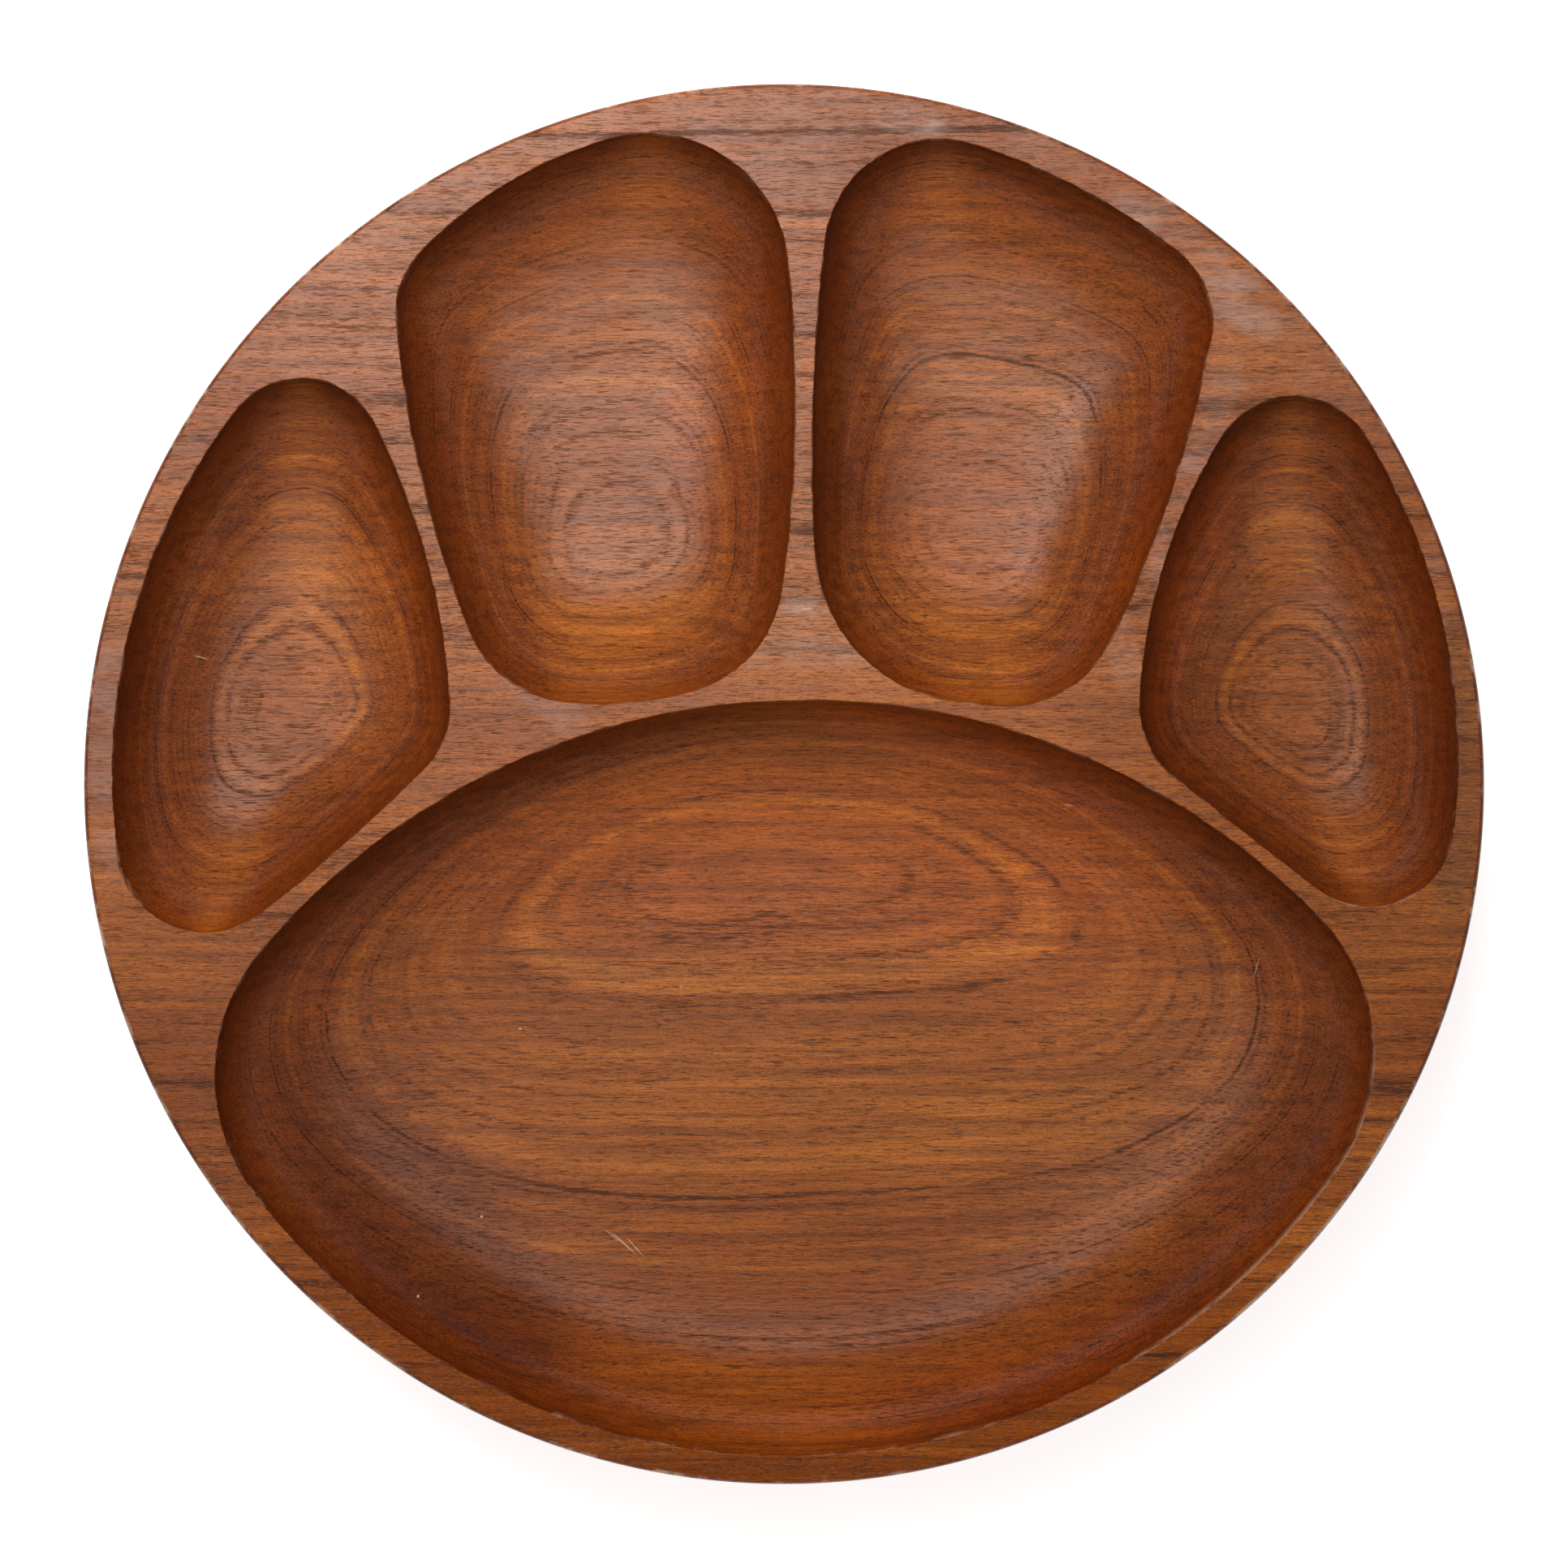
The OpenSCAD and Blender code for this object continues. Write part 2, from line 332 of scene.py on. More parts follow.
# ---------------------------------------------------------------- materials


class Graph:
    """Short names for the shader nodes that the materials are built from."""

    def __init__(self, name):
        self.material = bpy.data.materials.new(name)
        self.material.use_nodes = True
        self.tree = self.material.node_tree
        self.tree.nodes.clear()
        self.output = self.tree.nodes.new("ShaderNodeOutputMaterial")
        self.shader = self.tree.nodes.new("ShaderNodeBsdfPrincipled")
        self.tree.links.new(self.shader.outputs[0], self.output.inputs[0])

    def feed(self, socket, value):
        if isinstance(value, bpy.types.NodeSocket):
            self.tree.links.new(value, socket)
        else:
            socket.default_value = value

    def node(self, kind, inputs, **settings):
        made = self.tree.nodes.new("ShaderNode" + kind)
        for key, value in settings.items():
            setattr(made, key, value)
        for key, value in inputs.items():
            self.feed(made.inputs[key], value)
        return made

    def math(self, operation, a, b=0.0, c=0.0, clamp=False):
        made = self.node("Math", {0: a, 1: b, 2: c}, operation=operation, use_clamp=clamp)
        return made.outputs[0]

    def place(self):
        """The coordinates of the frame that every piece shares, in mm."""
        here = self.node("TexCoord", {}).outputs["Object"]
        return self.node("VectorMath", {0: here, "Scale": 1 / MM}, operation="SCALE").outputs[0]

    def stretch(self, vector, scale, offset=(0, 0, 0), turn=(0, 0, 0)):
        inputs = {"Vector": vector, "Location": offset, "Rotation": turn, "Scale": scale}
        return self.node("Mapping", inputs).outputs[0]

    def noise(self, vector, detail=2.0, rough=0.5):
        inputs = {"Vector": vector, "Scale": 1.0, "Detail": detail, "Roughness": rough}
        return self.node("TexNoise", inputs).outputs[0]

    def field(self, vector, waves, offset, detail, rough):
        """One of the noise fields listed below."""
        return self.noise(self.stretch(vector, waves, offset=offset), detail, rough)

    def scaled(self, value, low, high):
        """Noise turned into a brightness that multiplies a colour."""
        return self.ramp(value, [(0.3, low), (0.7, high)], smooth=False)

    def line_noise(self, value, detail=2.0):
        """Noise along a single number, such as the distance from the pith."""
        inputs = {"W": value, "Scale": 1.0, "Detail": detail}
        return self.node("TexNoise", inputs, noise_dimensions="1D").outputs[0]

    def band(self, value, place, width):
        """One where the value is at that place, falling to nothing half a width away."""
        away = self.math("ABSOLUTE", self.math("SUBTRACT", value, place))
        return self.math("MULTIPLY_ADD", away, -2 / width, 1.0, clamp=True)

    def ramp(self, value, stops, smooth=True):
        """Turns a value into a colour or a grey through (position, colour or grey) stops."""
        made = self.node("ValToRGB", {0: value})
        made.color_ramp.interpolation = "EASE" if smooth else "LINEAR"
        elements = made.color_ramp.elements
        while len(elements) < len(stops):
            elements.new(0.5)
        for element, (position, colour) in zip(elements, stops):
            element.position = position
            grey = isinstance(colour, (int, float))
            element.color = (colour, colour, colour, 1) if grey else (*colour, 1)
        return made.outputs[0]

    def mix(self, factor, a, b, blend="MIX"):
        made = self.node("Mix", {}, data_type="RGBA", blend_type=blend)
        self.feed(made.inputs[0], factor)
        self.feed(made.inputs[6], a if isinstance(a, bpy.types.NodeSocket) else (*a, 1))
        self.feed(made.inputs[7], b if isinstance(b, bpy.types.NodeSocket) else (*b, 1))
        return made.outputs[2]

    def bump(self, height, distance):
        inputs = {"Height": height, "Distance": distance, "Strength": 1.0}
        return self.node("Bump", inputs).outputs[0]


# Noise fields of the teak, each as waves per millimetre along the grain, across it and upward,
# offset, detail and roughness
DRIFT = ((0.005, 0.012, 0.012), (0, 0, 0), 1, 0.5)
WANDER = ((0.02, 0.05, 0.05), (3, 7, 1), 2, 0.5)
PATCHES = ((0.016, 0.10, 0.10), (9, 2, 5), 3, 0.5)
TONE = ((0.004, 0.016, 0.016), (4, 4, 4), 2, 0.5)
STREAKS = ((0.012, 0.42, 0.42), (1, 8, 3), 4, 0.6)
FIBRES = ((0.07, 3.4, 3.4), (0, 0, 0), 4, 0.65)
SPECKS = ((1.1, 2.6, 2.6), (6, 1, 2), 3, 0.7)
FINE_PORES = ((0.26, 4.2, 4.2), (5, 5, 5), 2, 0.6)
COARSE_PORES = ((0.18, 1.9, 1.9), (2, 9, 7), 2, 0.6)
DRY_AND_SHEEN_PATCHES = ((0.05, 0.12, 0.12), (7, 3, 8), 4, 0.65)
EDGE_WEAR = ((0.09, 0.09, 0.09), (2, 6, 0), 4, 0.7)

# How far drift and wander move the rings, in millimetres, and how unevenly the rings are spaced
DRIFT_REACH, WANDER_REACH = 1.2, 0.35
UNEVEN_WAVES, UNEVEN_REACH = 0.35, 2.6

TEAK_COLOURS = [
    (0.25, (0.290, 0.067, 0.006)), (0.42, (0.370, 0.092, 0.009)),
    (0.56, (0.432, 0.114, 0.011)), (0.72, (0.520, 0.148, 0.014)),
]
STREAK_BROWN = (0.190, 0.046, 0.009)
RING_BROWN = (0.120, 0.030, 0.007)
COARSE_PORE_BROWN = (0.080, 0.021, 0.006)
FINE_PORE_BROWN = (0.070, 0.018, 0.005)
# The next three tints darken the wood, partly or wholly as painted shade, and the pale wood after them is
# partly a painted sheen
END_GRAIN_AND_SHADE_TINT = (0.42, 0.26, 0.13)
WALL_SHADE_TINT = (0.90, 0.78, 0.55)
LOWER_SHADE_TINT = (0.86, 0.74, 0.30)
DRY_AND_SHEEN_WOOD = (0.66, 0.50, 0.44)
CHIPPED_WOOD = (0.62, 0.36, 0.22)
SCRATCHED_WOOD = (0.68, 0.44, 0.30)

# How far the dark details take the wood towards their browns, and how much a ring crowds the pores
RING_SHARE, COARSE_PORE_SHARE, FINE_PORE_SHARE = 0.55, 0.74, 0.68
COARSE_CROWDING, FINE_CROWDING = 0.20, 0.22

# Roughness of the wood between fibres, and what fibres, pores, torn fibres and the tray's darker lower part
# add to it
WOOD_ROUGH, FIBRE_ROUGH, PORE_ROUGH, TORN_ROUGH = 0.30, 0.14, 0.2, 0.50
LOWER_PART_ROUGH, LOWER_PART_TORN_ROUGH = -0.08, 0.22

# Heights of the surface's details, as shares of TEAK_BUMP, which is in millimetres
FIBRE_HEIGHT, FINE_PORE_HEIGHT, COARSE_PORE_HEIGHT = 0.3, -0.5, -0.6
TEAK_BUMP = 0.07


def growth(g, along, pith):
    """Distance from the pith line, less the distance from it to the tray's top, swayed by noise."""
    drift = g.field(along, *DRIFT)
    wander = g.field(along, *WANDER)
    split = g.node("SeparateXYZ", {0: along})
    y = g.math("SUBTRACT", split.outputs[1], pith[0])
    z = g.math("SUBTRACT", split.outputs[2], pith[1])
    far = g.math("SQRT", g.math("ADD", g.math("MULTIPLY", y, y), g.math("MULTIPLY", z, z)))
    grown = g.math("SUBTRACT", far, TOP - pith[1])
    grown = g.math("MULTIPLY_ADD", g.math("SUBTRACT", drift, 0.5), DRIFT_REACH, grown)
    return g.math("MULTIPLY_ADD", g.math("SUBTRACT", wander, 0.5), WANDER_REACH, grown)


def growth_rings(g, along, grown, spacing, dark_rings):
    """A dark line of pores where each ring starts, fading into paler wood, and the darker rings."""
    count = g.math("DIVIDE", grown, spacing)
    uneven = g.line_noise(g.math("MULTIPLY", count, UNEVEN_WAVES), detail=2)
    count = g.math("MULTIPLY_ADD", uneven, UNEVEN_REACH, count)
    phase = g.math("FRACT", count)
    number = g.math("FLOOR", count)
    chance = g.node("TexWhiteNoise", {"W": number}, noise_dimensions="1D").outputs[0]
    line = g.ramp(phase, [(0.0, 1.0), (0.10, 0.75), (0.32, 0.2), (0.7, 0.08), (0.9, 0.35), (1.0, 1.0)])
    patch = g.ramp(g.field(along, *PATCHES), [(0.34, 0.12), (0.62, 1.0)])
    strength = g.math("MULTIPLY", g.math("POWER", chance, 2.0), patch)
    ring = g.math("MULTIPLY", line, g.math("MULTIPLY_ADD", strength, 0.50, 0.07))
    for place, width, weight in dark_rings:
        patchy = g.math("MULTIPLY", patch, weight)
        ring = g.math("MULTIPLY_ADD", g.band(grown, place, width), patchy, ring)
    return ring


def wood_colour(g, along, grown, ring, fibre, fine_pore, coarse_pore, pale_rings):
    """The colour of planed teak before anything has happened to its surface."""
    season = g.line_noise(g.math("MULTIPLY", grown, 0.9), detail=3)
    tone = g.math("MULTIPLY_ADD", g.math("SUBTRACT", season, 0.5), 0.55, g.field(along, *TONE))
    for place, width, weight in pale_rings:
        tone = g.math("MULTIPLY_ADD", g.band(grown, place, width), weight, tone)
    streak = g.ramp(g.field(along, *STREAKS), [(0.38, 0.0), (0.70, 0.66)])
    colour = g.mix(streak, g.ramp(tone, TEAK_COLOURS), STREAK_BROWN)
    colour = g.mix(g.math("MULTIPLY", ring, RING_SHARE, clamp=True), colour, RING_BROWN)
    layer = g.line_noise(g.math("MULTIPLY", grown, 4.0), detail=3)
    for shade in (
        g.scaled(fibre, 0.68, 1.30), g.scaled(g.field(along, *SPECKS), 0.68, 1.30),
        g.scaled(layer, 0.93, 1.06),
    ):
        colour = g.mix(1.0, colour, shade, blend="MULTIPLY")
    colour = g.mix(g.math("MULTIPLY", coarse_pore, COARSE_PORE_SHARE), colour, COARSE_PORE_BROWN)
    return g.mix(g.math("MULTIPLY", fine_pore, FINE_PORE_SHARE), colour, FINE_PORE_BROWN)


def tray_wear_and_painted_light(g, here, along, level, torn, colour, rough):
    """Adds the darker lower part, tints, dry patches with a painted sheen, chipped edges and scratches.

    The tray is darker and more golden towards its lower edge, which is painted shade. The photograph's
    tray is darker and more golden towards its lower edge. That it's oil is a guess.
    """
    # painted shade: the wood darker and more golden towards the tray's lower edge
    south = g.math("MULTIPLY_ADD", g.node("SeparateXYZ", {0: here}).outputs[1], -0.0025, 0.5)
    painted_lower_shade = g.ramp(south, [(0.71, 0.0), (0.90, 1.0)])
    colour = g.mix(painted_lower_shade, colour, LOWER_SHADE_TINT, blend="MULTIPLY")
    rough = g.math("MULTIPLY_ADD", painted_lower_shade, LOWER_PART_ROUGH, rough)
    rough = g.math("MULTIPLY_ADD", g.math("MULTIPLY", torn, painted_lower_shade), LOWER_PART_TORN_ROUGH, rough)
    for *spot, tint in TINTS:
        colour = g.mix(patch_at(g, here, *spot), colour, tint, blend="MULTIPLY")

    # painted sheen: a pale haze on the flat faces towards the top, in patches like dry, rubbed wood
    dry_and_sheen_noise = g.field(along, *DRY_AND_SHEEN_PATCHES)
    north = g.ramp(south, [(0.0, 1.0), (0.5, 0.0)])
    flat = g.ramp(level, [(0.95, 0.0), (0.995, 1.0)])
    dry_and_sheen = g.math("MULTIPLY", north, g.ramp(dry_and_sheen_noise, [(0.35, 0.02), (0.65, 0.12)]))
    patchy = g.ramp(dry_and_sheen_noise, [(0.36, 0.2), (0.62, 1.0)])
    for rub_and_sheen in RUBS_AND_SHEEN:
        dry_and_sheen = g.math("MULTIPLY_ADD", patch_at(g, here, *rub_and_sheen), patchy, dry_and_sheen)
    colour = g.mix(g.math("MULTIPLY", dry_and_sheen, flat), colour, DRY_AND_SHEEN_WOOD)

    edge = g.node("Attribute", {}, attribute_name="lip").outputs["Fac"]
    wear = g.field(here, *EDGE_WEAR)
    for chipped in CHIPS:
        wear = g.math("ADD", wear, patch_at(g, here, *chipped))
    wear = g.math("MULTIPLY", edge, g.ramp(wear, [(0.48, 0.0), (0.72, 0.7)]))
    # pale chipped wood on the edges; on the tray's outer edge it is partly a painted highlight
    colour = g.mix(wear, colour, CHIPPED_WOOD)
    for mark in MARKS:
        colour = g.mix(patch_at(g, here, *mark), colour, SCRATCHED_WOOD)
    return colour, rough


def patch_at(g, here, x, y, z, length, width, degrees, strength):
    """An oval patch of that length and width at one place, turned by that many degrees."""
    centred = g.node("VectorMath", {0: here, 1: (x, y, z)}, operation="SUBTRACT").outputs[0]
    turned = g.stretch(centred, (1, 1, 1), turn=(0, 0, -math.radians(degrees)))
    scaled = g.stretch(turned, (2 / length, 2 / width, 0.12))
    far = g.node("VectorMath", {0: scaled}, operation="LENGTH").outputs["Value"]
    return g.math("MULTIPLY", g.ramp(far, [(0.55, 1.0), (1.0, 0.0)]), strength)


def teak(name, pith, turn=0.0, spacing=0.65, dark_rings=(), pale_rings=(), wear_and_painted_light=False):
    """Solid teak. The growth rings are cylinders round a pith line that runs along the grain."""
    g = Graph(name)
    here = g.place()
    along = g.stretch(here, (1, 1, 1), turn=(0, 0, turn))
    grown = growth(g, along, pith)
    ring = growth_rings(g, along, grown, spacing, dark_rings)

    # fibres and pores, all long along the grain, with more pores where a ring starts
    fibre = g.field(along, *FIBRES)
    crowd = g.math("MULTIPLY_ADD", ring, FINE_CROWDING, g.field(along, *FINE_PORES))
    fine_pore = g.ramp(crowd, [(0.59, 0.0), (0.68, 1.0)])
    crowd = g.math("MULTIPLY_ADD", ring, COARSE_CROWDING, g.field(along, *COARSE_PORES))
    coarse_pore = g.ramp(crowd, [(0.60, 0.0), (0.71, 1.0)])
    colour = wood_colour(g, along, grown, ring, fibre, fine_pore, coarse_pore, pale_rings)

    # the cut ends of the fibres drink more oil, so faces across the grain are darker and redder; on the
    # pocket walls this darkening is also painted shade
    facing = g.node("TexCoord", {}).outputs["Normal"]
    ends = (math.cos(turn), -math.sin(turn), 0)
    across = g.node("VectorMath", {0: facing, 1: ends}, operation="DOT_PRODUCT").outputs["Value"]
    end_grain_and_shade = g.ramp(g.math("ABSOLUTE", across), [(0.03, 0.0), (0.24, 0.58), (0.85, 0.86)], smooth=False)
    colour = g.mix(end_grain_and_shade, colour, END_GRAIN_AND_SHADE_TINT, blend="MULTIPLY")
    level = g.math("ABSOLUTE", g.node("SeparateXYZ", {0: facing}).outputs[2])
    # steep faces darker and yellower: painted shade on the pocket walls
    painted_wall_shade = g.ramp(level, [(0.60, 1.0), (0.90, 0.5), (0.99, 0.0)], smooth=False)
    colour = g.mix(painted_wall_shade, colour, WALL_SHADE_TINT, blend="MULTIPLY")

    # gentle slopes are rougher, as if the router had torn their fibres, which is a guess from their haze
    torn = g.ramp(level, [(0.80, 0.1), (0.93, 1.0), (0.97, 0.9), (0.995, 0.0)])
    rough = g.math("MULTIPLY_ADD", fibre, FIBRE_ROUGH, WOOD_ROUGH)
    rough = g.math("MULTIPLY_ADD", fine_pore, PORE_ROUGH, rough)
    rough = g.math("MULTIPLY_ADD", torn, TORN_ROUGH, rough)
    if wear_and_painted_light:
        colour, rough = tray_wear_and_painted_light(g, here, along, level, torn, colour, rough)

    height = g.math("MULTIPLY_ADD", fine_pore, FINE_PORE_HEIGHT, g.math("MULTIPLY", fibre, FIBRE_HEIGHT))
    height = g.math("MULTIPLY_ADD", coarse_pore, COARSE_PORE_HEIGHT, height)
    g.feed(g.shader.inputs["Base Color"], colour)
    g.feed(g.shader.inputs["Roughness"], rough)
    g.shader.inputs["Specular IOR Level"].default_value = 1.0
    g.feed(g.shader.inputs["Normal"], g.bump(height, TEAK_BUMP * MM))
    return g.material


def metal(name, colour, tint, rough, depth=0.02):
    """Plated steel: a fine grain, clouded here and there with the tint."""
    g = Graph(name)
    here = g.place()
    grain = g.noise(g.stretch(here, (0.4, 0.4, 0.4)), detail=5, rough=0.7)
    cloud = g.noise(g.stretch(here, (0.06, 0.06, 0.06)), detail=4)
    clouded = g.mix(g.ramp(cloud, [(0.35, 0.0), (0.7, 1.0)]), colour, tint)
    g.feed(g.shader.inputs["Base Color"], clouded)
    g.feed(g.shader.inputs["Roughness"], g.math("MULTIPLY_ADD", grain, 0.25, rough))
    g.shader.inputs["Metallic"].default_value = 1.0
    g.feed(g.shader.inputs["Normal"], g.bump(grain, depth * MM))
    return g.material


def plastic(name, dark, light, rough, grain, depth):
    """Moulded nylon or rubber: a fine grain with dust in it."""
    g = Graph(name)
    here = g.place()
    fine = g.noise(g.stretch(here, (grain,) * 3), detail=4, rough=0.6)
    dust = g.noise(g.stretch(here, (0.16, 0.16, 0.16)), detail=5, rough=0.7)
    dusty = g.mix(g.ramp(dust, [(0.4, 0.0), (0.8, 1.0)]), dark, light)
    g.feed(g.shader.inputs["Base Color"], dusty)
    g.feed(g.shader.inputs["Roughness"], g.math("MULTIPLY_ADD", fine, 0.2, rough))
    g.feed(g.shader.inputs["Normal"], g.bump(fine, depth * MM))
    return g.material


# ---------------------------------------------------------------- marks, patches and rings on the tray

FLOOR_Z = TOP - POCKETS["palm"]["depth"]

# Scratches and nicks, as (x, y, z, length, width, degrees, strength)
MARKS = [
    (-42, -120, FLOOR_Z, 10, 0.5, -42, 0.8),
    (-39, -121, FLOOR_Z, 8, 0.4, -48, 0.7),
    (-45, -118, FLOOR_Z, 6, 0.35, -40, 0.6),
    (74, -5.5, TOP - 9, 4, 0.5, -10, 0.8),
    (123, -48, TOP - 14, 7, 0.4, 75, 0.35),
    (-79, -113, FLOOR_Z, 1.0, 0.8, 0, 0.9),
    (-95, -133, TOP - 16, 1.3, 1.0, 60, 0.9),
    (-69, -64, FLOOR_Z, 1.0, 0.6, 0, 0.8),
    (-27, -53, FLOOR_Z, 0.8, 0.6, 0, 0.6),
    (6, 45, TOP, 4, 0.8, 5, 0.7),
    (-152, 33, TOP - 14, 5, 0.35, -15, 0.7),
]

# Places on the land made pale: partly rubbed dry wood, partly painted sheen, laid out as the marks are
RUBS_AND_SHEEN = [
    (100, 136, TOP, 66, 20, -36, 0.15), (118, 124, TOP, 30, 16, -45, 0.13), (31, 171, TOP, 26, 9, -8, 0.25),
    (-172, 12, TOP, 20, 90, 0, 0.16), (86, 36, TOP, 40, 12, -70, 0.12), (4, 46, TOP, 14, 5, 8, 0.22),
    (-66, 30, TOP, 60, 16, -52, 0.10), (166, 40, TOP, 12, 70, 0, 0.10), (0, 38, TOP, 150, 20, 0, 0.14),
    (106, 78, TOP, 74, 16, 70, 0.16),
]

# Stretches of a pocket's edge that are more chipped than the rest, laid out as the marks are
CHIPS = [
    (124, -104, TOP, 130, 50, 53, 0.16), (153, -32, TOP, 24, 16, 0, 0.12), (0, 100, TOP, 12, 44, 0, 0.14),
    (-106, 55, TOP, 14, 40, 15, 0.16), (-60, 146, TOP, 90, 20, 24, 0.06),
]

# Soft patches that tint the wood where the lamps alone leave it unlike the photograph, laid out as the
# marks are and ending with their tint. Some stand in for light and shade, and not for darker wood.
TINTS = [
    (-94, -112, TOP - 14, 140, 66, -48, 0.80, (0.60, 0.50, 0.28)),
    (122, -100, TOP - 12, 110, 50, 54, 0.55, (0.60, 0.50, 0.28)),
    (78, -92, TOP - 17, 90, 46, 35, 0.35, (0.66, 0.62, 0.50)),
    (44, -148, TOP - 8, 130, 56, 10, 0.60, (1.40, 1.28, 0.8)),
    (6, -22, TOP - 16, 250, 70, 0, 0.80, (1.28, 1.16, 1.05)),
    (70, -38, TOP - 18, 100, 60, 0, 0.50, (1.30, 1.25, 1.20)),
    (55, 4, TOP - 8, 140, 40, -20, 0.70, (1.45, 1.28, 1.0)),
    (102, 48, TOP - 9, 110, 40, 73, 0.80, (1.62, 1.50, 1.1)),
    (142, 60, TOP - 10, 60, 34, -72, 0.50, (0.70, 0.65, 0.60)),
    (-112, 36, TOP - 17, 84, 40, 100, 0.80, (1.30, 1.42, 2.0)),
    (-101, 50, TOP - 9, 110, 34, 105, 0.60, (1.40, 1.38, 1.2)),
    (-141, 46, TOP - 12, 84, 34, 76, 0.50, (0.72, 0.68, 0.68)),
    (-20, 94, TOP - 14, 84, 40, 90, 0.80, (1.26, 1.24, 1.3)),
    (50, 62, TOP - 17, 60, 44, 0, 0.70, (1.22, 1.20, 1.2)),
    (172, 4, TOP, 18, 110, 0, 0.80, (0.78, 0.95, 2.0)),
]

# Darker and paler rings, as (distance outward from the ring that touches the tray's top, width, weight)
DARK_RINGS = [
    (-18.25, 0.30, 0.25), (-17.90, 0.22, 0.45), (-17.28, 0.20, 0.55), (-16.65, 0.25, 0.25),
    (-16.00, 0.20, 0.30), (-15.60, 0.20, 0.30), (-15.10, 0.18, 0.25), (-14.60, 0.25, 0.40),
    (-12.85, 0.26, 0.80), (-11.50, 0.25, 0.30), (-8.80, 0.30, 0.50), (-5.50, 0.40, 0.20),
    (0.75, 0.12, 0.50), (1.60, 0.18, 0.50), (2.05, 0.14, 0.40), (3.80, 0.40, 0.45),
    (4.50, 0.20, 0.35), (5.48, 0.26, 0.50), (8.90, 0.35, 0.45), (11.60, 0.30, 0.60),
]
PALE_RINGS = [(-17.62, 0.55, 0.22), (-13.80, 0.80, 0.12), (-10.20, 0.90, 0.10)]


# Where the pith line runs: y and z, with the grain along x before it is turned
TRAY_PITH = (10.0, TOP - 1065.0)
BASE_PITH = (-30.0, base_low[2] / MM - 310.0)
BASE_TURN = math.radians(24)


def dress():
    """Gives every CAD node its material, and returns the tray's."""
    tray_teak = teak("tray_teak", TRAY_PITH, dark_rings=DARK_RINGS, pale_rings=PALE_RINGS, wear_and_painted_light=True)
    base_teak = teak("base_teak", BASE_PITH, turn=BASE_TURN, spacing=1.4)
    zinc = metal("zinc_plate", (0.62, 0.63, 0.64), (0.50, 0.50, 0.49), 0.28)
    bearing = metal("ball_steel", (0.66, 0.67, 0.69), (0.60, 0.60, 0.61), 0.12, depth=0.004)
    yellow = metal("screw_steel", (0.66, 0.56, 0.33), (0.52, 0.46, 0.36), 0.25)
    washer = metal("washer_steel", (0.60, 0.61, 0.62), (0.48, 0.48, 0.48), 0.3)
    nylon = plastic("nylon", (0.72, 0.69, 0.60), (0.62, 0.58, 0.48), 0.42, 1.2, 0.02)
    rubber = plastic("rubber", (0.020, 0.020, 0.021), (0.055, 0.052, 0.048), 0.68, 2.0, 0.06)
    by_slot = {
        "teak_tray": tray_teak, "teak_base": base_teak, "zinc_plate": zinc, "nylon": nylon,
        "ball_steel": bearing, "screw_steel": yellow, "washer_steel": washer, "rubber": rubber,
    }
    for part in frame["record"]["subparts"]:
        node = frame["nodes"][part["node"]]
        node.data.materials.clear()
        node.data.materials.append(by_slot[part["material_slot"]])
    return tray_teak


# ---------------------------------------------------------------- floor, light and camera

FLOOR_SIZE = 8
FLOOR_GLOW = 0.72
SKY_GLOW = 0.15

# How far the camera is above the tray, and the picture's width as a multiple of the tray's
CAMERA_HEIGHT = 1.05
PICTURE_SHARE = 1.1186


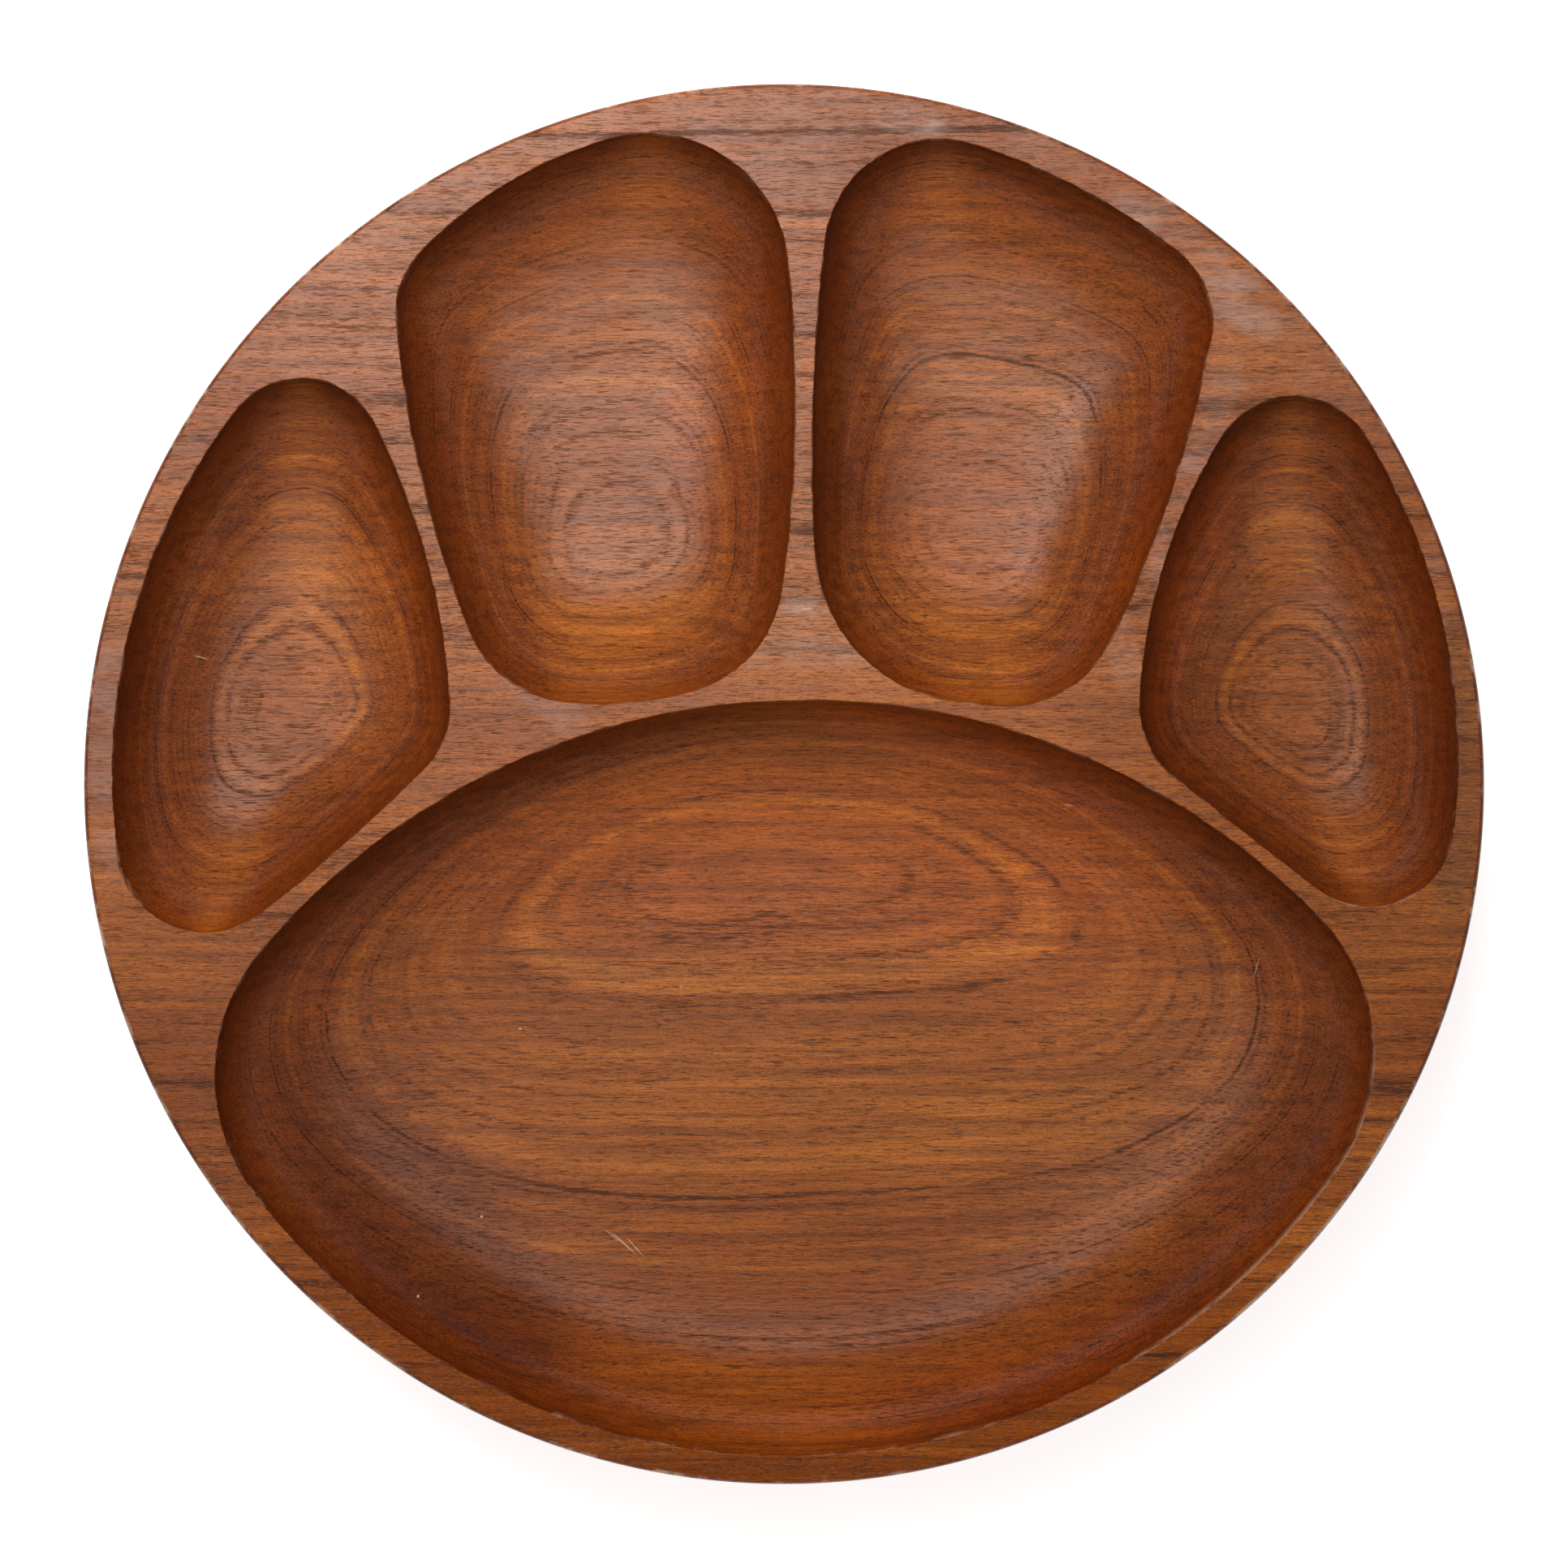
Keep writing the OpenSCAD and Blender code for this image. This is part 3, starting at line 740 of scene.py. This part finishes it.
def build_floor():
    """A white, softly glowing sheet, so that the tray's shadow on it stays faint."""
    bpy.ops.mesh.primitive_plane_add(size=FLOOR_SIZE)
    floor = bpy.context.object
    floor.name = "floor"
    g = Graph("pale_floor")
    here = g.place()
    speck = g.noise(g.stretch(here, (0.02, 0.02, 0.02)), detail=3)
    g.feed(g.shader.inputs["Base Color"], g.ramp(speck, [(0.3, 0.88), (0.7, 0.90)]))
    g.shader.inputs["Roughness"].default_value = 0.9
    g.shader.inputs["Specular IOR Level"].default_value = 0.1
    g.shader.inputs["Emission Color"].default_value = (1, 1, 1, 1)
    g.shader.inputs["Emission Strength"].default_value = FLOOR_GLOW
    floor.data.materials.append(g.material)


def area_light(name, place, aim, size, power, glossy=True):
    """A round lamp. One that isn't glossy lights the wood without being mirrored in its sheen."""
    data = bpy.data.lights.new(name, "AREA")
    data.shape = "DISK"
    data.size = size
    data.energy = power
    lamp = bpy.data.objects.new(name, data)
    lamp.location = place
    lamp.rotation_euler = (Vector(aim) - Vector(place)).to_track_quat("-Z", "Y").to_euler()
    lamp.visible_camera = False
    lamp.visible_glossy = glossy
    bpy.context.scene.collection.objects.link(lamp)


def light_scene():
    """A near, soft key from the upper left, a weak fill, and a softbox overhead for the satin sheen."""
    area_light("key", (-0.20, 0.50, 0.68), (-0.03, 0.03, 0.04), 0.7, 6.4, glossy=False)
    area_light("fill", (0.15, -0.70, 0.42), (0.0, 0.0, 0.04), 0.6, 0.95, glossy=False)
    area_light("overhead", (-0.14, 0.32, 1.30), (-0.03, 0.05, 0.04), 0.5, 2.5)
    world = bpy.data.worlds.new("studio")
    bpy.context.scene.world = world
    world.use_nodes = True
    background = world.node_tree.nodes["Background"]
    background.inputs[0].default_value = (1.0, 1.0, 1.0, 1)
    background.inputs[1].default_value = SKY_GLOW
    world.cycles_visibility.glossy = False
    bpy.context.scene.view_settings.view_transform = "Standard"


def place_camera():
    """Straight down, with the tray filling the same share of the picture as in the photograph."""
    picture_width = 2 * TRAY_R * MM * PICTURE_SHARE
    data = bpy.data.cameras.new("camera")
    data.sensor_width = 36
    data.lens = data.sensor_width * CAMERA_HEIGHT / picture_width
    camera = bpy.data.objects.new("camera", data)
    camera.location = (0, 0, TOP * MM + CAMERA_HEIGHT)
    bpy.context.scene.collection.objects.link(camera)
    bpy.context.scene.camera = camera


tray = build_tray()
tray.data.materials.append(dress())
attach(tray, "platter")
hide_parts("platter")
build_floor()
light_scene()
place_camera()
